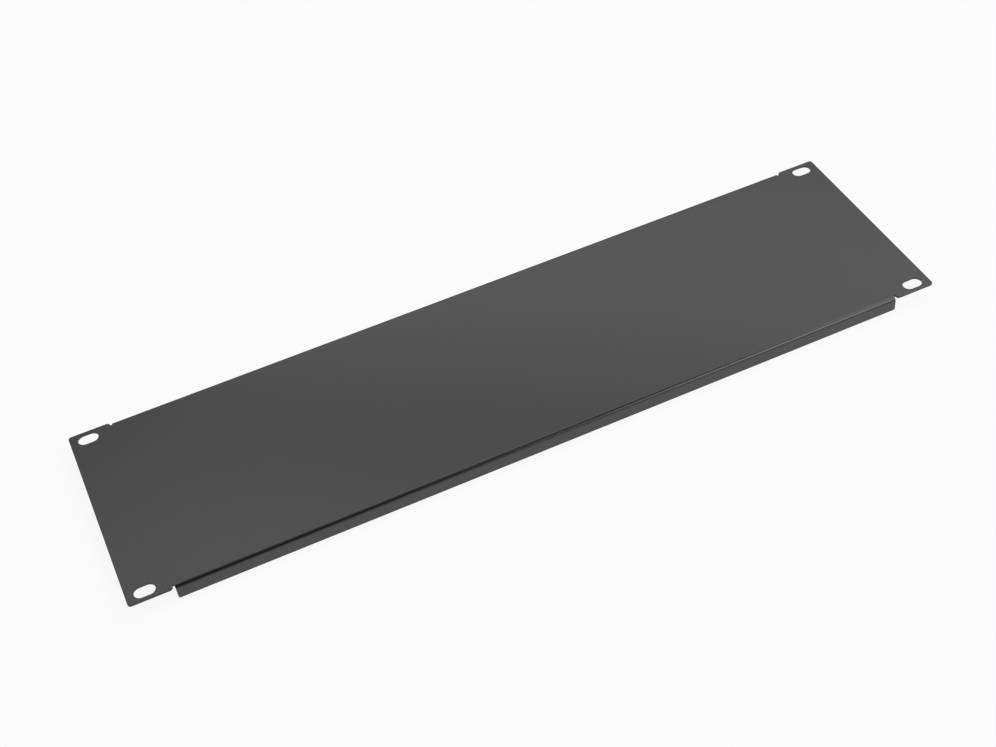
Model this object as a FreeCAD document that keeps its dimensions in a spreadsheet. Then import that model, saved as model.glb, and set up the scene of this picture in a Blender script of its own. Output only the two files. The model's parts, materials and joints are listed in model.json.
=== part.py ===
"""Rack blanking panel, 3U high: one sheet of steel with both long edges folded back.

Frame, in millimetres: +X runs along the panel's width, +Y up its height when it
hangs in a rack, and +Z out of its front face. The origin is under the panel's
centre, at the level of the flanges' free edges, which the panel rests on when
it lies face up.

The panel is made the way the sheet is: a channel section (web, two bends and
two flanges), a flat ear at each end of the web, a relief notch between each ear
and the end of each flange, and one slot near each outer corner of the ears.
"""
import FreeCAD, Part

import math
import os
from enum import IntEnum

import Sketcher

VECTOR = FreeCAD.Vector

# Driving dimensions: alias, value in millimetres, meaning.
DIMENSIONS = (
    ("panel_width", 486.0, "end to end over both ears"),
    ("panel_height", 132.5, "over both flanges, three rack units less a gap"),
    ("sheet_gauge", 1.2, "steel sheet with its coating"),
    ("flange_depth", 9.0, "front face to the flange's free edge"),
    ("bend_inside_radius", 1.0, "tool radius inside each fold"),
    ("ear_width", 25.4, "panel end to the end of the flanges"),
    ("relief_width", 1.0, "notch between the ear and the end of a flange"),
    ("ear_corner_radius", 1.8, "outer corners of the ears"),
    ("ear_root_radius", 2.0, "ear's corners beside the relief notches"),
    ("flange_tip_radius", 1.0, "lower corners of each flange"),
    ("slot_length", 11.8, "end to end, along the width"),
    ("slot_width", 7.5, "across the height"),
    ("slot_from_end", 10.45, "slot centre to the end of the panel"),
    ("slot_from_edge", 5.925, "slot centre to the long edge of the panel"),
)

NODE = "blanking_panel"
TOLERANCE = 1e-4
SLOT_VOLUME_SLACK = 0.01


class EdgePoint(IntEnum):
    """The points of a drawn edge, as a sketch numbers them."""

    START = 1
    END = 2
    CENTRE = 3


class Axis(IntEnum):
    """A sketch's own axes, as it numbers them."""

    U = -1
    V = -2


START, END, CENTRE = EdgePoint
ORIGIN = (Axis.U, START)


def make_sheet(doc):
    """Fill the spreadsheet: name, value and meaning in columns A, B and C."""
    sheet = doc.addObject("Spreadsheet::Sheet", "Sizes")
    for row, (alias, value, meaning) in enumerate(DIMENSIONS, start=1):
        sheet.set(f"A{row}", alias)
        sheet.set(f"B{row}", str(value))
        sheet.set(f"C{row}", meaning)
        sheet.setAlias(f"B{row}", alias)
    doc.recompute()
    return sheet


def origin_plane(body, role):
    """Return the body's own origin plane with the given role."""
    return next(item for item in body.Origin.OriginFeatures if item.Role == role)


def new_sketch(body, name, role, height=None):
    """Add a sketch on an origin plane, lifted along its normal by an expression."""
    sketch = body.newObject("Sketcher::SketchObject", name)
    sketch.AttachmentSupport = [(origin_plane(body, role), "")]
    sketch.MapMode = "FlatFace"
    if height:
        sketch.setExpression("AttachmentOffset.Base.z", height)
    return sketch


def constrain(sketch, *details):
    """Add one geometric constraint and return its index."""
    return sketch.addConstraint(Sketcher.Constraint(*details))


def bind(sketch, name, expression, *details):
    """Add a dimension, name it and tie it to an expression on the sheet."""
    index = constrain(sketch, *details)
    sketch.renameConstraint(index, name)
    sketch.setExpression(f"Constraints.{name}", expression)


def line(sketch, start, end):
    """Draw a straight edge between two (u, v) points and return its index."""
    return sketch.addGeometry(Part.LineSegment(VECTOR(*start, 0), VECTOR(*end, 0)), False)


def arc(sketch, start, middle, end):
    """Draw an arc through three (u, v) points and return its index."""
    points = [VECTOR(*point, 0) for point in (start, middle, end)]
    return sketch.addGeometry(Part.Arc(*points), False)


def nearest_ends(sketch, first, second):
    """Return the end (START or END) of each of two edges where they meet."""
    pairs = [(a, b) for a in (START, END) for b in (START, END)]
    return min(pairs, key=lambda pair: sketch.getPoint(first, pair[0]).distanceToPoint(
        sketch.getPoint(second, pair[1])))


def join(sketch, first, second, kind="Coincident"):
    """Join two edges at the ends that meet, in a corner or as tangents."""
    end_of_first, end_of_second = nearest_ends(sketch, first, second)
    constrain(sketch, kind, first, end_of_first, second, end_of_second)


def square_up(sketch, edges):
    """Hold each straight edge horizontal or vertical, whichever it was drawn as."""
    for edge in edges:
        run = sketch.getPoint(edge, END) - sketch.getPoint(edge, START)
        constrain(sketch, "Horizontal" if abs(run.x) > abs(run.y) else "Vertical", edge)


def draw_half_section(sketch, sizes):
    """Draw one half of the channel, cut across: half the web, a bend and a flange.

    The sketch's u axis is the panel's height and its v axis the panel's depth.
    """
    edge = sizes.panel_height / 2
    front = sizes.flange_depth
    gauge = sizes.sheet_gauge
    inner = sizes.bend_inside_radius
    outer = inner + gauge
    centre = (edge - outer, front - outer)
    diagonal = 0.5 ** 0.5

    middle = line(sketch, (0, front - gauge), (0, front))
    face = line(sketch, (0, front), (centre[0], front))
    outer_bend = arc(sketch, (centre[0], front),
                     (centre[0] + outer * diagonal, centre[1] + outer * diagonal),
                     (edge, centre[1]))
    outside = line(sketch, (edge, centre[1]), (edge, 0))
    free_edge = line(sketch, (edge, 0), (edge - gauge, 0))
    inside = line(sketch, (edge - gauge, 0), (edge - gauge, centre[1]))
    inner_bend = arc(sketch, (edge - gauge, centre[1]),
                     (centre[0] + inner * diagonal, centre[1] + inner * diagonal),
                     (centre[0], front - gauge))
    back = line(sketch, (centre[0], front - gauge), (0, front - gauge))

    square_up(sketch, (middle, face, outside, free_edge, inside, back))
    join(sketch, middle, face)
    join(sketch, face, outer_bend, "Tangent")
    join(sketch, outer_bend, outside, "Tangent")
    join(sketch, outside, free_edge)
    join(sketch, free_edge, inside)
    join(sketch, inside, inner_bend, "Tangent")
    join(sketch, inner_bend, back, "Tangent")
    join(sketch, back, middle)
    constrain(sketch, "Coincident", inner_bend, CENTRE, outer_bend, CENTRE)
    constrain(sketch, "PointOnObject", middle, START, Axis.V)
    constrain(sketch, "PointOnObject", free_edge, START, Axis.U)
    bind(sketch, "half_height", "Sizes.panel_height / 2",
         "DistanceX", *ORIGIN, free_edge, START, edge)
    bind(sketch, "depth", "Sizes.flange_depth", "DistanceY", *ORIGIN, middle, END, front)
    bind(sketch, "gauge", "Sizes.sheet_gauge", "DistanceX", free_edge, END, free_edge, START, gauge)
    bind(sketch, "inside_radius", "Sizes.bend_inside_radius", "Radius", inner_bend, inner)


def draw_ear(sketch, sizes):
    """Draw the right ear, with the tongue between its two relief notches.

    The tongue joins the ear to the web. Each notch runs in from the long edge
    to the bend line, where the flat of the web begins.
    """
    root = sizes.panel_width / 2 - sizes.ear_width
    shoulder = root + sizes.relief_width
    end = sizes.panel_width / 2
    edge = sizes.panel_height / 2
    notch = sizes.bend_inside_radius + sizes.sheet_gauge
    tongue = edge - notch

    corners = [(root, -tongue), (shoulder, -tongue), (shoulder, -edge), (end, -edge),
               (end, edge), (shoulder, edge), (shoulder, tongue), (root, tongue)]
    edges = [line(sketch, start, stop) for start, stop in zip(corners, corners[1:] + corners[:1])]
    lower_notch, lower_shoulder, lower_edge, end_edge, upper_edge, upper_shoulder, upper_notch = edges[:7]

    square_up(sketch, (lower_notch, lower_shoulder, lower_edge, upper_edge, upper_shoulder, upper_notch))
    for first, second in zip(edges, edges[1:] + edges[:1]):
        join(sketch, first, second)
    constrain(sketch, "Symmetric", end_edge, START, end_edge, END, Axis.U)
    constrain(sketch, "Symmetric", lower_notch, START, upper_notch, END, Axis.U)
    constrain(sketch, "Equal", lower_notch, upper_notch)
    bind(sketch, "half_width", "Sizes.panel_width / 2",
         "DistanceX", *ORIGIN, end_edge, START, end)
    bind(sketch, "ear_width", "Sizes.ear_width",
         "DistanceX", lower_notch, START, end_edge, START, sizes.ear_width)
    bind(sketch, "relief_width", "Sizes.relief_width",
         "DistanceX", lower_notch, START, lower_notch, END, sizes.relief_width)
    bind(sketch, "height", "Sizes.panel_height",
         "DistanceY", end_edge, START, end_edge, END, sizes.panel_height)
    bind(sketch, "notch_depth", "Sizes.bend_inside_radius + Sizes.sheet_gauge",
         "DistanceY", lower_shoulder, END, lower_shoulder, START, notch)


def draw_slot(sketch, sizes):
    """Draw the upper right slot: two straight sides between two half-round ends."""
    x = sizes.panel_width / 2 - sizes.slot_from_end
    y = sizes.panel_height / 2 - sizes.slot_from_edge
    radius = sizes.slot_width / 2
    reach = sizes.slot_length / 2 - radius

    lower = line(sketch, (x - reach, y - radius), (x + reach, y - radius))
    right = arc(sketch, (x + reach, y - radius), (x + reach + radius, y), (x + reach, y + radius))
    upper = line(sketch, (x + reach, y + radius), (x - reach, y + radius))
    left = arc(sketch, (x - reach, y + radius), (x - reach - radius, y), (x - reach, y - radius))

    square_up(sketch, (lower, upper))
    for first, second in ((lower, right), (right, upper), (upper, left), (left, lower)):
        join(sketch, first, second, "Tangent")
    bind(sketch, "end_radius", "Sizes.slot_width / 2", "Radius", right, radius)
    bind(sketch, "centre_to_centre", "Sizes.slot_length - Sizes.slot_width",
         "DistanceX", left, CENTRE, right, CENTRE, 2 * reach)
    bind(sketch, "from_middle",
         "Sizes.panel_width / 2 - Sizes.slot_from_end + (Sizes.slot_length - Sizes.slot_width) / 2",
         "DistanceX", *ORIGIN, right, CENTRE, x + reach)
    bind(sketch, "from_axis", "Sizes.panel_height / 2 - Sizes.slot_from_edge",
         "DistanceY", *ORIGIN, right, CENTRE, y)


def mirror(body, name, feature, role):
    """Repeat a feature on the far side of one of the body's origin planes."""
    mirrored = body.newObject("PartDesign::Mirrored", name)
    mirrored.Originals = [feature]
    mirrored.MirrorPlane = (origin_plane(body, role), [""])
    body.Tip = mirrored
    return mirrored


def round_edges(body, name, chosen, radius):
    """Round the edges of the tip that a test picks, with a radius from the sheet."""
    base = body.Tip
    names = [f"Edge{index}" for index, edge in enumerate(base.Shape.Edges, start=1) if chosen(edge)]
    fillet = body.newObject("PartDesign::Fillet", name)
    fillet.Base = (base, names)
    fillet.setExpression("Radius", radius)
    body.Tip = fillet
    body.Document.recompute()
    return fillet


def corner_edges(axis, **place):
    """Return a test for straight edges along an axis, at places given without sign."""
    def chosen(edge):
        ends = [vertex.Point for vertex in edge.Vertexes]
        if len(ends) != 2:
            return False
        middle = (ends[0] + ends[1]) / 2
        run = (ends[1] - ends[0]).normalize()
        return abs(getattr(run, axis)) > 1 - TOLERANCE and all(
            abs(abs(getattr(middle, name)) - value) < TOLERANCE for name, value in place.items())
    return chosen


def fold_channel(body, sizes):
    """Make the web with its two folded flanges, over the flanges' length."""
    section = new_sketch(body, "HalfSection", "YZ_Plane")
    draw_half_section(section, sizes)
    half = body.newObject("PartDesign::Pad", "HalfChannel")
    half.Profile = section
    half.Midplane = True
    half.setExpression("Length", "Sizes.panel_width - 2 * Sizes.ear_width")
    body.Document.recompute()
    mirror(body, "Channel", half, "XZ_Plane")
    body.Document.recompute()


def add_ears(body, sizes):
    """Add the flat ear at each end of the web, in the plane of the web."""
    outline = new_sketch(body, "EarOutline", "XY_Plane", "Sizes.flange_depth - Sizes.sheet_gauge")
    draw_ear(outline, sizes)
    ear = body.newObject("PartDesign::Pad", "RightEar")
    ear.Profile = outline
    ear.setExpression("Length", "Sizes.sheet_gauge")
    body.Document.recompute()
    mirror(body, "BothEars", ear, "YZ_Plane")
    body.Document.recompute()


def round_corners(body, sizes):
    """Round the ears' outer corners, their roots and the flanges' lower corners."""
    end = sizes.panel_width / 2
    edge = sizes.panel_height / 2
    root = end - sizes.ear_width
    round_edges(body, "EarCorners", corner_edges("z", x=end, y=edge), "Sizes.ear_corner_radius")
    round_edges(body, "EarRoots", corner_edges("z", x=root + sizes.relief_width, y=edge),
                "Sizes.ear_root_radius")
    round_edges(body, "FlangeTips", corner_edges("y", x=root, z=0), "Sizes.flange_tip_radius")


def cut_slots(body, sizes):
    """Cut a slot through one ear and repeat it in both ears, top and bottom."""
    doc = body.Document
    uncut = body.Tip.Shape.Volume
    outline = new_sketch(body, "SlotOutline", "XY_Plane", "Sizes.flange_depth")
    draw_slot(outline, sizes)
    slot = body.newObject("PartDesign::Pocket", "Slot")
    slot.Profile = outline
    slot.setExpression("Length", "Sizes.sheet_gauge")
    doc.recompute()
    slots = body.newObject("PartDesign::MultiTransform", "AllSlots")
    across = doc.addObject("PartDesign::Mirrored", "SlotsAcross")
    across.MirrorPlane = (origin_plane(body, "YZ_Plane"), [""])
    along = doc.addObject("PartDesign::Mirrored", "SlotsUp")
    along.MirrorPlane = (origin_plane(body, "XZ_Plane"), [""])
    slots.Originals = [slot]
    slots.Transformations = [across, along]
    body.Tip = slots
    doc.recompute()

    straight = (sizes.slot_length - sizes.slot_width) * sizes.slot_width
    half_rounds = math.pi * (sizes.slot_width / 2) ** 2
    one_slot = sizes.sheet_gauge * (straight + half_rounds)
    wanted = one_slot * 2 ** len(slots.Transformations)
    removed = uncut - slots.Shape.Volume
    if abs(removed - wanted) > SLOT_VOLUME_SLACK * one_slot:
        raise RuntimeError(f"the slots took {removed:.1f} mm3, not {wanted:.1f}")


def make_panel(doc, sizes):
    """Make the panel as one body."""
    body = doc.addObject("PartDesign::Body", "Panel")
    body.Label = NODE
    body.Placement = FreeCAD.Placement()
    doc.recompute()
    fold_channel(body, sizes)
    add_ears(body, sizes)
    round_corners(body, sizes)
    cut_slots(body, sizes)
    return body


def check_document(doc, parts):
    """Stop unless every object computed and every part is one valid solid."""
    for item in doc.Objects:
        if "Invalid" in item.State or "Error" in item.State:
            raise RuntimeError(f"{item.Name} failed: {item.State}")
    for part in parts:
        shape = part.Shape
        if shape.isNull() or not shape.isValid() or len(shape.Solids) != 1:
            raise RuntimeError(f"{part.Label} is not one valid solid")


def main():
    """Build the document, check it and write one STEP file for each part."""
    doc = FreeCAD.newDocument("RackBlankingPanel")
    sizes = make_sheet(doc)
    parts = [make_panel(doc, sizes)]
    doc.recompute()
    check_document(doc, parts)
    os.makedirs("parts", exist_ok=True)
    for part in parts:
        part.Shape.exportStep(f"parts/{part.Label}.step")
        box = part.Shape.BoundBox
        print(f"{part.Label}: {box.XLength:.2f} x {box.YLength:.2f} x {box.ZLength:.2f} mm, "
              f"{part.Shape.Volume:.1f} mm3")


main()
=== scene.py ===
"""Looks of a 3U rack blanking panel: a folded steel sheet with a black powder coat.

The sheet is made as a press brake makes it. A flat blank is cut with its ears,
relief notches and rail slots, and a Geometry Nodes rule folds the two long
strips back by a right angle. Everything is in metres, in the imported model's own
frame: +X along the panel, +Y up its height, +Z out of its front face.
"""

import json
import logging
import math
from dataclasses import dataclass
from enum import Enum
from typing import Any, Iterable, Mapping, Optional, Sequence, Union

import bmesh
import bpy
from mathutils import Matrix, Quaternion, Vector
from mathutils.geometry import delaunay_2d_cdt

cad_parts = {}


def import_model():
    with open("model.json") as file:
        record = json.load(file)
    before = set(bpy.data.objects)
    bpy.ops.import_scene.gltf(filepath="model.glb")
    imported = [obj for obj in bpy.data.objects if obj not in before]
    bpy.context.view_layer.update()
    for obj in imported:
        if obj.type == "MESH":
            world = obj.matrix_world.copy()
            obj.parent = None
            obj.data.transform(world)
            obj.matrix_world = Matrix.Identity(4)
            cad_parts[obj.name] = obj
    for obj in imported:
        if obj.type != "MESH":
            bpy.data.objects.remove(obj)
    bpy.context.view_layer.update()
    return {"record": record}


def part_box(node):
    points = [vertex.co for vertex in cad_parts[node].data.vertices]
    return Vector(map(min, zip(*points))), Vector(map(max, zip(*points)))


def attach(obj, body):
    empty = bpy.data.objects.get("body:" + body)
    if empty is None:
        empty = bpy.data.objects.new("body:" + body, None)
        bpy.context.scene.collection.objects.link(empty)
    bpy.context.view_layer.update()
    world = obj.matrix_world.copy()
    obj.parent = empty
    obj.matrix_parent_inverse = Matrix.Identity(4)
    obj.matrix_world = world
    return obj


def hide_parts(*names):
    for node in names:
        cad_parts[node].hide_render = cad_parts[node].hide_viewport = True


LOG = logging.getLogger("rack_panel")

NODE = "blanking_panel"
BODY = "root"
MM = 0.001
METRE = 1.0
FULL = 1.0  # a whole strength or share, and no transparency in a colour
WHITE = (FULL, FULL, FULL, FULL)
NOISE_MIDDLE = 0.5
SIGHT_AXIS = (0.0, 0.0, 1.0)  # the line along which a lamp and a camera look
QUARTER_TURN = math.pi / 2
QUARTERS = ((1, 1), (-1, 1), (-1, -1), (1, -1))  # signs of x and y, anticlockwise
INSIDE_WITH_HOLES = 2  # the triangulation's own number for that kind of result
MERGE_SHARE = 1e-3  # points nearer than this share of the edge radius are one

# A colour Mix node's own numbers: its share, its two colours and its result.
MIX_SHARE, MIX_FIRST, MIX_SECOND, MIX_RESULT = 0, 6, 7, 2
# A Mix Shader node's own numbers: its share and its two shaders.
BLEND_SHARE, BLEND_FIRST, BLEND_SECOND = 0, 1, 2

Colour = tuple[float, float, float]
Loop = list[Vector]
Ring = list[bmesh.types.BMVert]
Key = Union[int, str]  # a socket's number or its name
Operand = Union["Value", float]


class Operation(Enum):
    """What a Math node works out, under Blender's own names."""

    ADD = "ADD"
    SUBTRACT = "SUBTRACT"
    MULTIPLY = "MULTIPLY"
    DIVIDE = "DIVIDE"
    SIZE = "ABSOLUTE"
    SIGN = "SIGN"
    LESS = "LESS_THAN"
    LARGER = "MAXIMUM"
    SMALLER = "MINIMUM"
    SINE = "SINE"
    COSINE = "COSINE"


class Value:
    """A number on a node's socket. Python's operators add the Math nodes."""

    def __init__(self, graph: "Graph", socket: bpy.types.NodeSocket) -> None:
        """Wrap an output socket of a graph."""
        self.graph = graph
        self.socket = socket

    def math(self, operation: Operation, *operands: Operand) -> "Value":
        """Result of a Math node that takes the operands in order."""
        made = self.graph.node("ShaderNodeMath", {"operation": operation.value}, dict(enumerate(operands)))
        return made["Value"]

    def __add__(self, other: Operand) -> "Value":
        """self + other."""
        return self.math(Operation.ADD, self, other)

    def __radd__(self, other: Operand) -> "Value":
        """other + self."""
        return self.math(Operation.ADD, other, self)

    def __sub__(self, other: Operand) -> "Value":
        """self - other."""
        return self.math(Operation.SUBTRACT, self, other)

    def __rsub__(self, other: Operand) -> "Value":
        """other - self."""
        return self.math(Operation.SUBTRACT, other, self)

    def __mul__(self, other: Operand) -> "Value":
        """self * other."""
        return self.math(Operation.MULTIPLY, self, other)

    def __rmul__(self, other: Operand) -> "Value":
        """other * self."""
        return self.math(Operation.MULTIPLY, other, self)

    def __truediv__(self, other: Operand) -> "Value":
        """self / other."""
        return self.math(Operation.DIVIDE, self, other)

    def __rtruediv__(self, other: Operand) -> "Value":
        """other / self."""
        return self.math(Operation.DIVIDE, other, self)

    def __abs__(self) -> "Value":
        """Size of self without its sign."""
        return self.math(Operation.SIZE, self)

    def __lt__(self, other: Operand) -> "Value":
        """1 where self is less than other, otherwise 0."""
        return self.math(Operation.LESS, self, other)

    def at_least(self, other: Operand) -> "Value":
        """The larger of the two."""
        return self.math(Operation.LARGER, self, other)

    def at_most(self, other: Operand) -> "Value":
        """The smaller of the two."""
        return self.math(Operation.SMALLER, self, other)

    def sign(self) -> "Value":
        """1 where self is above 0, -1 where it is below, and 0 at 0."""
        return self.math(Operation.SIGN, self)

    def sine(self) -> "Value":
        """Sine of self, which is in radians."""
        return self.math(Operation.SINE, self)

    def cosine(self) -> "Value":
        """Cosine of self, which is in radians."""
        return self.math(Operation.COSINE, self)


class Outputs:
    """A node's output sockets, by number or name, wrapped as values."""

    def __init__(self, graph: "Graph", node: bpy.types.Node) -> None:
        """Keep the node and its graph."""
        self.graph = graph
        self.node = node

    def __getitem__(self, key: Key) -> Value:
        """The output with that number or name."""
        return Value(self.graph, self.node.outputs[key])


class Graph:
    """A node tree that is filled one node at a time."""

    def __init__(self, tree: bpy.types.NodeTree) -> None:
        """Start from an empty tree."""
        self.tree = tree
        tree.nodes.clear()

    def node(self, kind: str, settings: Optional[Mapping[str, Any]] = None,
             inputs: Optional[Mapping[Key, Any]] = None) -> Outputs:
        """Add a node, set it up and feed it.

        Args:
            kind: The node's type, as Blender names it.
            settings: Its properties, set before its sockets.
            inputs: A value, or another node's output, for each socket by number or name.

        Returns:
            The node's outputs.
        """
        made = self.tree.nodes.new(kind)
        for name, setting in (settings or {}).items():
            setattr(made, name, setting)
        for key, fed in (inputs or {}).items():
            if isinstance(fed, Value):
                self.tree.links.new(fed.socket, made.inputs[key])
            else:
                made.inputs[key].default_value = fed
        return Outputs(self, made)

    def noise(self, place: Value, size: float, detail: float) -> Value:
        """Pattern from 0 to 1, with features of one size and some layers of finer detail."""
        return self.node("ShaderNodeTexNoise", {"noise_dimensions": "3D"},
                         {"Vector": place, "Scale": 1 / size, "Detail": detail})["Fac"]

    def mixed_colour(self, share: Value, first: Colour, second: Colour) -> Value:
        """Colour that goes from the first to the second as the share goes from 0 to 1."""
        return self.node("ShaderNodeMix", {"data_type": "RGBA"}, {
            MIX_SHARE: share, MIX_FIRST: (*first, FULL), MIX_SECOND: (*second, FULL)})[MIX_RESULT]


def new_object(name: str, data: bpy.types.ID) -> bpy.types.Object:
    """Make an object that holds some data, and put it in the scene.

    Args:
        name: The object's name.
        data: Its mesh, lamp or camera.

    Returns:
        The object, at the origin.
    """
    made = bpy.data.objects.new(name, data)
    bpy.context.scene.collection.objects.link(made)
    return made


def stand(made: bpy.types.Object, aim: Vector, azimuth: float, elevation: float,
          distance: float, roll: float = 0.0) -> None:
    """Stand a lamp or a camera round the panel and turn it to face a point.

    Args:
        made: The lamp or camera.
        aim: The point that it faces.
        azimuth: Degrees round from the lower long edge, with the right end at 90.
        elevation: Degrees up from the floor.
        distance: Metres between it and the point.
        roll: Degrees that it is turned about its own line of sight.
    """
    turn, rise = math.radians(azimuth), math.radians(elevation)
    back = Vector((math.sin(turn) * math.cos(rise), -math.cos(turn) * math.cos(rise), math.sin(rise)))
    made.location = aim + back * distance
    made.rotation_mode = "QUATERNION"
    made.rotation_quaternion = ((-back).to_track_quat("-Z", "Y")
                                @ Quaternion(SIGHT_AXIS, math.radians(roll)))


def bridge(mesh: bmesh.types.BMesh, first: Ring, second: Ring) -> None:
    """Join two closed rings of as many points with a band of four-sided faces."""
    for corners in zip(first, second, second[1:] + second[:1], first[1:] + first[:1]):
        mesh.faces.new(corners)


def arc(centre: Sequence[float], radius: float, start: float, end: float, steps: int) -> Loop:
    """Points along an arc in the blank's plane.

    Args:
        centre: The arc's centre.
        radius: Its radius.
        start: Angle of its first point, in radians from +X.
        end: Angle of its last point.
        steps: How many chords it has.

    Returns:
        The arc's points, both ends included.
    """
    angles = [start + (end - start) * step / steps for step in range(steps + 1)]
    return [Vector((centre[0] + radius * math.cos(a), centre[1] + radius * math.sin(a)))
            for a in angles]


def inset(loop: Loop, distance: float) -> Loop:
    """Move a closed outline sideways, towards the metal on its left.

    Args:
        loop: The outline's corners, in order.
        distance: How far each side moves.

    Returns:
        The moved corners, in the same order.
    """
    moved = []
    for before, corner, after in zip(loop[-1:] + loop[:-1], loop, loop[1:] + loop[:1]):
        incoming = (corner - before).normalized()
        outgoing = (after - corner).normalized()
        left = Vector((-incoming.y - outgoing.y, incoming.x + outgoing.x)).normalized()
        slant = left.dot(Vector((-outgoing.y, outgoing.x)))
        moved.append(corner + left * (distance / slant))
    return moved


@dataclass(frozen=True)
class PowderCoat:
    """Black satin powder coat: its colour, gloss and the fine texture of the cured powder.

    Colour and gloss both vary with slow patches and with the grain. Each
    patchiness is the patches' share of that, and the grain has the rest.
    """

    name: str = "black_powder_coat"
    slot: str = "powder_coat"
    colour: Colour = (0.0080, 0.0080, 0.0082)
    dusty_colour: Colour = (0.0105, 0.0105, 0.0107)
    colour_patchiness: float = 0.6
    refraction: float = 1.65
    roughness: float = 0.25
    roughness_swing: float = 0.03
    gloss_patchiness: float = 0.35
    grain_size: float = 0.45 * MM
    grain_height: float = 0.004 * MM
    grain_detail: float = 2.0
    peel_size: float = 2.6 * MM
    peel_height: float = 0.010 * MM
    peel_detail: float = 1.0
    patch_size: float = 60 * MM
    patch_detail: float = 1.0

    def material(self) -> bpy.types.Material:
        """Make the coat's material.

        Returns:
            The material, with its pattern tied to the sheet.
        """
        material = bpy.data.materials.new(self.name)
        material.use_nodes = True
        graph = Graph(material.node_tree)
        place = graph.node("ShaderNodeTexCoord")["Object"]
        patches = graph.noise(place, self.patch_size, self.patch_detail)
        grain = graph.noise(place, self.grain_size, self.grain_detail)
        peel = graph.noise(place, self.peel_size, self.peel_detail)

        dust = self.colour_patchiness * patches + (1 - self.colour_patchiness) * grain
        wear = self.gloss_patchiness * patches + (1 - self.gloss_patchiness) * grain
        relief = self.grain_height * grain + self.peel_height * peel
        normal = graph.node("ShaderNodeBump", inputs={
            "Strength": FULL, "Distance": METRE, "Height": relief})["Normal"]
        shader = graph.node("ShaderNodeBsdfPrincipled", inputs={
            "Base Color": graph.mixed_colour(dust, self.colour, self.dusty_colour),
            "Roughness": self.roughness + self.roughness_swing * (wear - NOISE_MIDDLE),
            "IOR": self.refraction, "Normal": normal})["BSDF"]
        graph.node("ShaderNodeOutputMaterial", inputs={"Surface": shader})
        return material


@dataclass
class FoldRule:
    """The press brake: bends both long strips of a flat blank back by a right angle."""

    bend_line: float
    outside_radius: float
    face_level: float
    half_length: float
    material: bpy.types.Material
    name: str = "press_brake"

    def tree(self) -> bpy.types.NodeTree:
        """Make the folding rule as a node group with named inputs.

        Returns:
            The node group.
        """
        tree = bpy.data.node_groups.new(self.name, "GeometryNodeTree")
        interface = tree.interface
        interface.new_socket("Blank", in_out="INPUT", socket_type="NodeSocketGeometry")
        for name in ("Bend Line", "Outside Radius", "Face Level", "Half Length"):
            interface.new_socket(name, in_out="INPUT", socket_type="NodeSocketFloat")
        interface.new_socket("Finish", in_out="INPUT", socket_type="NodeSocketMaterial")
        interface.new_socket("Folded", in_out="OUTPUT", socket_type="NodeSocketGeometry")

        graph = Graph(tree)
        given = graph.node("NodeGroupInput")
        bend_line, radius = given["Bend Line"], given["Outside Radius"]
        place = graph.node("ShaderNodeSeparateXYZ", inputs={
            "Vector": graph.node("GeometryNodeInputPosition")["Position"]})
        along, across, below_face = place["X"], place["Y"], place["Z"]

        past_line = (abs(across) - bend_line).at_least(0.0)
        angle = (past_line / radius).at_most(QUARTER_TURN)
        past_bend = (past_line - radius * QUARTER_TURN).at_least(0.0)
        reach = radius + below_face
        out = across.sign() * (abs(across).at_most(bend_line) + reach * angle.sine())
        level = reach * angle.cosine() - radius - past_bend

        folded = graph.node("ShaderNodeCombineXYZ", inputs={"X": along, "Y": out, "Z": level})["Vector"]
        bent = graph.node("GeometryNodeSetPosition", inputs={
            "Geometry": given["Blank"], "Selection": abs(along) < given["Half Length"],
            "Position": folded})["Geometry"]
        lift = graph.node("ShaderNodeCombineXYZ", inputs={"Z": given["Face Level"]})["Vector"]
        raised = graph.node("GeometryNodeTransform", inputs={
            "Geometry": bent, "Translation": lift})["Geometry"]
        real = graph.node("GeometryNodeRealizeInstances", inputs={"Geometry": raised})["Geometry"]
        finished = graph.node("GeometryNodeSetMaterial", inputs={
            "Geometry": real, "Material": given["Finish"]})["Geometry"]
        graph.node("NodeGroupOutput", inputs={"Folded": finished})
        return tree

    def add_to(self, piece: bpy.types.Object) -> None:
        """Put the rule on a blank, with its inputs set.

        Args:
            piece: The blank, flat at level 0 with its metal below.
        """
        modifier = piece.modifiers.new(self.name, "NODES")
        modifier.node_group = self.tree()
        inputs = {"Bend Line": self.bend_line, "Outside Radius": self.outside_radius,
                  "Face Level": self.face_level, "Half Length": self.half_length,
                  "Finish": self.material}
        for item in modifier.node_group.interface.items_tree:
            if item.in_out == "INPUT" and item.name in inputs:
                modifier[item.identifier] = inputs[item.name]


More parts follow.
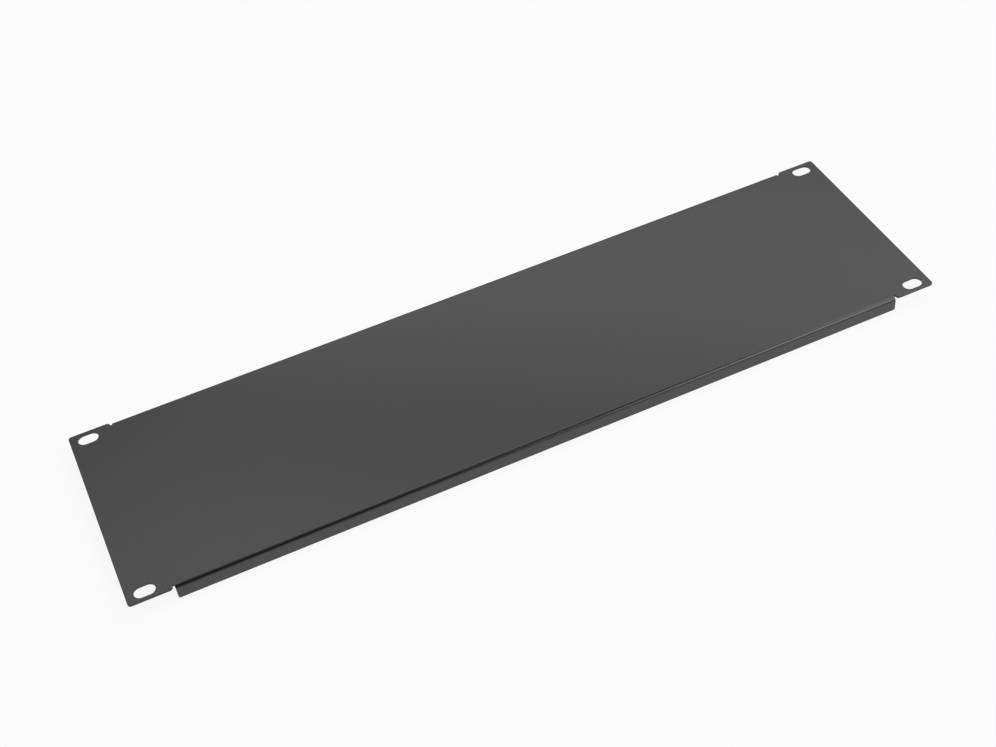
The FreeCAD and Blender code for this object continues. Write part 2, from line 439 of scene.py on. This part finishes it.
@dataclass
class FoldedSheet:
    """The panel's one sheet: a web with two folded flanges and two flat, slotted ears.

    Lengths are in metres. Every cut edge is rounded by the edge radius, and the
    steps and pitches say how finely the arcs and the flat faces are divided.
    """

    width: float
    height: float
    depth: float
    gauge: float
    slot_spread: tuple[float, float]
    slot_length: float
    slot_width: float
    ear_width: float = 25.4 * MM
    relief_width: float = 1.0 * MM
    bend_inside_radius: float = 1.0 * MM
    ear_corner_radius: float = 1.8 * MM
    ear_root_radius: float = 2.0 * MM
    flange_tip_radius: float = 1.0 * MM
    edge_radius: float = 0.12 * MM
    edge_steps: int = 3
    corner_steps: int = 8
    slot_steps: int = 20
    bend_steps: int = 14
    column_pitch: float = 8 * MM
    row_pitch: float = 12 * MM
    sharp_angle: float = math.radians(40)
    name: str = "folded_sheet"

    @property
    def outside_radius(self) -> float:
        """Radius of each fold on the outside of the sheet."""
        return self.bend_inside_radius + self.gauge

    @property
    def bend_line(self) -> float:
        """Distance from the panel's axis to where each fold begins."""
        return self.height / 2 - self.outside_radius

    @property
    def flat_half_height(self) -> float:
        """Distance from the axis to the edge of the unfolded blank, along its face."""
        return (self.bend_line + self.outside_radius * QUARTER_TURN
                + self.depth - self.outside_radius)

    @property
    def flange_end(self) -> float:
        """Distance from the panel's middle to the end of each flange."""
        return self.width / 2 - self.ear_width

    def bend_rows(self) -> list[float]:
        """Distances from the axis to the rows of points across one fold."""
        step = self.outside_radius * QUARTER_TURN / self.bend_steps
        return [self.bend_line + step * row for row in range(self.bend_steps + 1)]

    def columns(self) -> list[float]:
        """Distances from the middle to the columns of points along half a flange."""
        count = round(self.flange_end / self.column_pitch)
        return [self.flange_end * column / count for column in range(count)]

    def outline(self) -> Loop:
        """Work out the blank's outline for a quarter and mirror it.

        Returns:
            The outline's points, anticlockwise.
        """
        end, edge, tip = self.width / 2, self.height / 2, self.flat_half_height
        corner, root, lip = self.ear_corner_radius, self.ear_root_radius, self.flange_tip_radius
        shoulder = self.flange_end + self.relief_width
        quarter = [Vector((end, 0.0))]
        quarter += arc((end - corner, edge - corner), corner, 0, QUARTER_TURN, self.corner_steps)
        quarter += arc((shoulder + root, edge - root), root, QUARTER_TURN, math.pi, self.corner_steps)
        quarter += [Vector((shoulder, self.bend_line))]
        quarter += [Vector((self.flange_end, row)) for row in self.bend_rows()]
        quarter += arc((self.flange_end - lip, tip - lip), lip, 0, QUARTER_TURN, self.corner_steps)
        quarter += [Vector((x, tip)) for x in reversed(self.columns()) if x < self.flange_end - lip]
        loop: Loop = []
        # Each quarter leaves its last point to the next one, which begins there.
        for sx, sy in QUARTERS:
            turned = [Vector((point.x * sx, point.y * sy)) for point in quarter]
            loop += (turned if sx * sy > 0 else turned[::-1])[:-1]
        return loop

    def slots(self) -> list[Loop]:
        """Work out the four obround rail slots.

        Returns:
            Each slot's points, clockwise, so that the metal is on their left.
        """
        radius = self.slot_width / 2
        reach = self.slot_length / 2 - radius
        loops = []
        for sx, sy in QUARTERS:
            x, y = sx * self.slot_spread[0] / 2, sy * self.slot_spread[1] / 2
            loops.append(
                arc((x + reach, y), radius, QUARTER_TURN, -QUARTER_TURN, self.slot_steps)
                + arc((x - reach, y), radius, -QUARTER_TURN, -3 * QUARTER_TURN, self.slot_steps))
        return loops

    def rim_profile(self) -> list[tuple[float, float]]:
        """Work out the section of a cut edge, which is rounded at the face and at the back.

        Returns:
            How far in and how far down each row of points lies, from the face to the back.
        """
        angles = [QUARTER_TURN * step / self.edge_steps for step in range(self.edge_steps + 1)]
        front = [(self.edge_radius * (1 - math.sin(a)), self.edge_radius * (1 - math.cos(a)))
                 for a in angles]
        return front + [(sideways, self.gauge - down) for sideways, down in reversed(front)]

    def inner_points(self) -> Loop:
        """Spread points over the web and flanges, where the fold needs them.

        Returns:
            The points, on rows along the panel and columns across it.
        """
        web_rows = round(self.bend_line / self.row_pitch)
        rows = [self.bend_line * row / web_rows for row in range(web_rows)] + self.bend_rows()
        across = [0.0] + [side * row for row in rows[1:] for side in (1, -1)]
        along = [0.0] + [side * x for x in self.columns()[1:] for side in (1, -1)]
        return [Vector((x, y)) for x in along for y in across]

    def cut_edge(self, mesh: bmesh.types.BMesh, loop: Loop) -> list[Ring]:
        """Make the rounded edge that runs along one outline.

        Args:
            mesh: The mesh that takes the edge.
            loop: The outline, with the metal on its left.

        Returns:
            The rings of points along the edge, from the face to the back.
        """
        rings = [[mesh.verts.new((*point, -down)) for point in inset(loop, sideways)]
                 for sideways, down in self.rim_profile()]
        for upper, lower in zip(rings, rings[1:]):
            bridge(mesh, upper, lower)
        return rings

    def cover(self, mesh: bmesh.types.BMesh, rims: list[list[Ring]]) -> None:
        """Close the face and the back with the same triangles, within the cut edges.

        Args:
            mesh: The mesh that holds the cut edges.
            rims: The rings of each cut edge, from the face to the back.
        """
        inner = self.inner_points()
        front_rim = [vertex for rings in rims for vertex in rings[0]]
        back_rim = [vertex for rings in rims for vertex in rings[-1]]
        flat = [vertex.co.to_2d() for vertex in front_rim] + inner
        borders, first = [], 0
        for rings in rims:
            borders.append(list(range(first, first + len(rings[0]))))
            first += len(rings[0])
        made, _, faces, sources, _, _ = delaunay_2d_cdt(
            flat, [], borders, INSIDE_WITH_HOLES, self.edge_radius * MERGE_SHARE)
        if len(made) != len(flat):
            raise ValueError(f"the blank's outline crosses itself: {len(made)} of {len(flat)} points")
        front = front_rim + [mesh.verts.new((*point, 0.0)) for point in inner]
        back = back_rim + [mesh.verts.new((*point, -self.gauge)) for point in inner]
        for face in faces:
            corners = [sources[index][0] for index in face]
            mesh.faces.new([front[index] for index in corners])
            mesh.faces.new([back[index] for index in reversed(corners)])

    def flat_blank(self) -> bmesh.types.BMesh:
        """Make the blank flat, with its face at level 0, its cut edges rounded and its slots open.

        Returns:
            The blank as one closed mesh whose faces point outwards.
        """
        mesh = bmesh.new()
        rims = [self.cut_edge(mesh, loop) for loop in (self.outline(), *self.slots())]
        self.cover(mesh, rims)
        bmesh.ops.recalc_face_normals(mesh, faces=mesh.faces)
        for face in mesh.faces:
            face.smooth = True
        for edge in mesh.edges:
            edge.smooth = edge.calc_face_angle(0.0) < self.sharp_angle
        return mesh

    def build(self, finish: PowderCoat) -> bpy.types.Object:
        """Cut the blank, fold it and dress it.

        Args:
            finish: The coat on both sides and on every cut edge.

        Returns:
            The finished sheet, riding on the panel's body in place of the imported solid.
        """
        blank = self.flat_blank()
        mesh = bpy.data.meshes.new(self.name)
        blank.to_mesh(mesh)
        blank.free()
        piece = new_object(self.name, mesh)
        FoldRule(bend_line=self.bend_line, outside_radius=self.outside_radius, face_level=self.depth,
                 half_length=self.flange_end + self.relief_width / 2,
                 material=finish.material()).add_to(piece)
        weighted = piece.modifiers.new("flat_face_normals", "WEIGHTED_NORMAL")
        weighted.keep_sharp = True
        seen = piece.evaluated_get(bpy.context.evaluated_depsgraph_get())
        folded = bpy.data.meshes.new_from_object(seen)
        piece.modifiers.clear()
        piece.data = folded
        folded.name = self.name
        bpy.data.meshes.remove(mesh)
        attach(piece, BODY)
        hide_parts(NODE)
        return piece


@dataclass(frozen=True)
class PalePaper:
    """Seamless white paper that is seen near white and still takes a soft shadow.

    To the eye, the glow's share of it is plain white and the rest is lit paper.
    """

    name: str = "seamless_paper"
    colour: Colour = (0.86, 0.86, 0.86)
    glow: float = 0.9

    def material(self) -> bpy.types.Material:
        """Make the paper's material.

        Returns:
            The material, near white to the eye and in reflections.
        """
        material = bpy.data.materials.new(self.name)
        material.use_nodes = True
        graph = Graph(material.node_tree)
        rays = graph.node("ShaderNodeLightPath")
        seen = rays["Is Camera Ray"].at_least(rays["Is Glossy Ray"]).at_least(rays["Is Transmission Ray"])
        paper = graph.node("ShaderNodeBsdfDiffuse", inputs={"Color": (*self.colour, FULL)})["BSDF"]
        white = graph.node("ShaderNodeEmission", inputs={"Color": WHITE, "Strength": FULL})["Emission"]
        mixed = graph.node("ShaderNodeMixShader", inputs={
            BLEND_SHARE: seen * self.glow, BLEND_FIRST: paper, BLEND_SECOND: white})["Shader"]
        graph.node("ShaderNodeOutputMaterial", inputs={"Surface": mixed})
        return material


@dataclass
class PaperSweep:
    """A round floor of paper that curves up into a low wall all the way round, in metres."""

    floor_level: float
    floor_radius: float = 3.2
    curve_radius: float = 0.8
    wall_height: float = 1.0
    segments: int = 96
    curve_steps: int = 12
    name: str = "paper_sweep"

    def profile(self) -> list[tuple[float, float]]:
        """Work out the sweep's section.

        Returns:
            Radius and height of each ring, from the floor's rim up to the wall's top.
        """
        angles = [QUARTER_TURN * step / self.curve_steps for step in range(self.curve_steps + 1)]
        bend = [(self.floor_radius + self.curve_radius * math.sin(a),
                 self.curve_radius * (1 - math.cos(a))) for a in angles]
        return [*bend, (self.floor_radius + self.curve_radius, self.wall_height)]

    def build(self, finish: PalePaper) -> bpy.types.Object:
        """Make the sweep.

        Args:
            finish: The paper it is made of.

        Returns:
            The sweep.
        """
        mesh = bmesh.new()
        turns = [math.tau * segment / self.segments for segment in range(self.segments)]
        rings = [[mesh.verts.new((radius * math.cos(turn), radius * math.sin(turn),
                                  self.floor_level + height)) for turn in turns]
                 for radius, height in self.profile()]
        mesh.faces.new(rings[0])
        for inner, outer in zip(rings, rings[1:]):
            bridge(mesh, inner, outer)
        for face in mesh.faces:
            face.smooth = True
        data = bpy.data.meshes.new(self.name)
        mesh.to_mesh(data)
        mesh.free()
        data.materials.append(finish.material())
        sweep = new_object(self.name, data)
        return sweep


@dataclass(frozen=True)
class Softbox:
    """A rectangular softbox, placed round the panel and turned to face it.

    Azimuth and elevation are in degrees and lengths in metres. A softbox with a
    radiance of 1 is as bright as plain white.
    """

    name: str
    azimuth: float
    elevation: float
    width: float
    height: float
    radiance: float
    distance: float = 2.4

    def build(self, aim: Vector) -> bpy.types.Object:
        """Hang the softbox.

        Args:
            aim: The point that it faces.

        Returns:
            The lamp.
        """
        lamp = bpy.data.lights.new(self.name, "AREA")
        lamp.shape = "RECTANGLE"
        lamp.size, lamp.size_y = self.width, self.height
        lamp.energy = self.radiance * math.pi * self.width * self.height
        box = new_object(self.name, lamp)
        stand(box, aim, self.azimuth, self.elevation, self.distance)
        return box


@dataclass
class Studio:
    """Plain soft light: a dim room and a few softboxes."""

    room: float = 0.03
    softboxes: tuple[Softbox, ...] = (
        Softbox("back_softbox", azimuth=143, elevation=40.5, width=2.95, height=0.62, radiance=1.48),
        Softbox("high_back_softbox", azimuth=140.5, elevation=63, width=3.6, height=0.9, radiance=1.37),
        Softbox("front_softbox", azimuth=36, elevation=34, width=1.0, height=1.25, radiance=4.0),
        Softbox("left_softbox", azimuth=-100, elevation=45, width=1.5, height=1.5, radiance=2.0),
        Softbox("right_softbox", azimuth=95, elevation=45, width=1.5, height=1.5, radiance=2.0),
        Softbox("top_softbox", azimuth=0, elevation=90, width=1.2, height=1.2, radiance=0.3),
    )

    def light(self, aim: Vector) -> list[bpy.types.Object]:
        """Light the room and hang the softboxes.

        Args:
            aim: The point that the softboxes face.

        Returns:
            The lamps.
        """
        scene = bpy.context.scene
        scene.view_settings.view_transform = "Standard"
        scene.world = bpy.data.worlds.new("studio_room")
        scene.world.use_nodes = True
        graph = Graph(scene.world.node_tree)
        air = graph.node("ShaderNodeBackground", inputs={
            "Color": WHITE, "Strength": self.room})["Background"]
        graph.node("ShaderNodeOutputWorld", inputs={"Surface": air})
        return [softbox.build(aim) for softbox in self.softboxes]


@dataclass
class StudioCamera:
    """The camera: where it stands round the panel, and how it is turned.

    Azimuth, elevation and roll are in degrees, lens and sensor in millimetres.
    It sees what lies between the nearest and the farthest share of its distance.
    """

    azimuth: float = -18.712
    elevation: float = 45.196
    roll: float = -7.725
    distance: float = 922.97 * MM
    aim_offset: tuple[float, float] = (-8.34 * MM, -7.84 * MM)
    lens: float = 58.752
    sensor: float = 36.0
    nearest_share: float = 0.01
    farthest_share: float = 20.0
    name: str = "studio_camera"

    def build(self, face_centre: Vector) -> bpy.types.Object:
        """Set up the camera and make it the scene's own.

        Args:
            face_centre: The middle of the panel's front face.

        Returns:
            The camera.
        """
        data = bpy.data.cameras.new(self.name)
        data.lens, data.sensor_width = self.lens, self.sensor
        data.clip_start = self.nearest_share * self.distance
        data.clip_end = self.farthest_share * self.distance
        camera = new_object(self.name, data)
        aim = face_centre + Vector((*self.aim_offset, 0.0))
        stand(camera, aim, self.azimuth, self.elevation, self.distance, self.roll)
        bpy.context.scene.camera = camera
        return camera


def sheet_from(record: Mapping[str, Any]) -> FoldedSheet:
    """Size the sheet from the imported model's box and its rail slots.

    Args:
        record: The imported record.

    Returns:
        The sheet, not built yet.
    """
    low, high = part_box(NODE)
    # The rail slots are placed on the back of the ears, which lies against the rack's rails.
    rail = next(mount for mount in record["mounts"] if mount["name"] == "rail_slots")
    dims = rail["dims"]
    return FoldedSheet(
        width=high.x - low.x, height=high.y - low.y, depth=high.z - low.z,
        gauge=high.z - rail["pos_m"][2],
        slot_spread=(dims["spacing_x_mm"] * MM, dims["spacing_y_mm"] * MM),
        slot_length=dims["slot_length_mm"] * MM, slot_width=2 * dims["hole_r_mm"] * MM)


def main() -> None:
    """Build the panel and the studio round it, in order."""
    logging.basicConfig(level=logging.INFO, format="%(name)s: %(message)s")
    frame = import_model()
    low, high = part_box(NODE)
    face_centre = Vector(((low.x + high.x) / 2, (low.y + high.y) / 2, high.z))

    sheet = sheet_from(frame["record"])
    piece = sheet.build(PowderCoat())
    LOG.info("%s: %d faces", piece.name, len(piece.data.polygons))
    sweep = PaperSweep(floor_level=low.z).build(PalePaper())
    LOG.info("%s: %d faces", sweep.name, len(sweep.data.polygons))
    for lamp in Studio().light(face_centre):
        LOG.info("%s: %.0f W", lamp.name, lamp.data.energy)
    camera = StudioCamera().build(face_centre)
    LOG.info("%s: %.1f mm lens", camera.name, camera.data.lens)


if __name__ == "__main__":
    main()
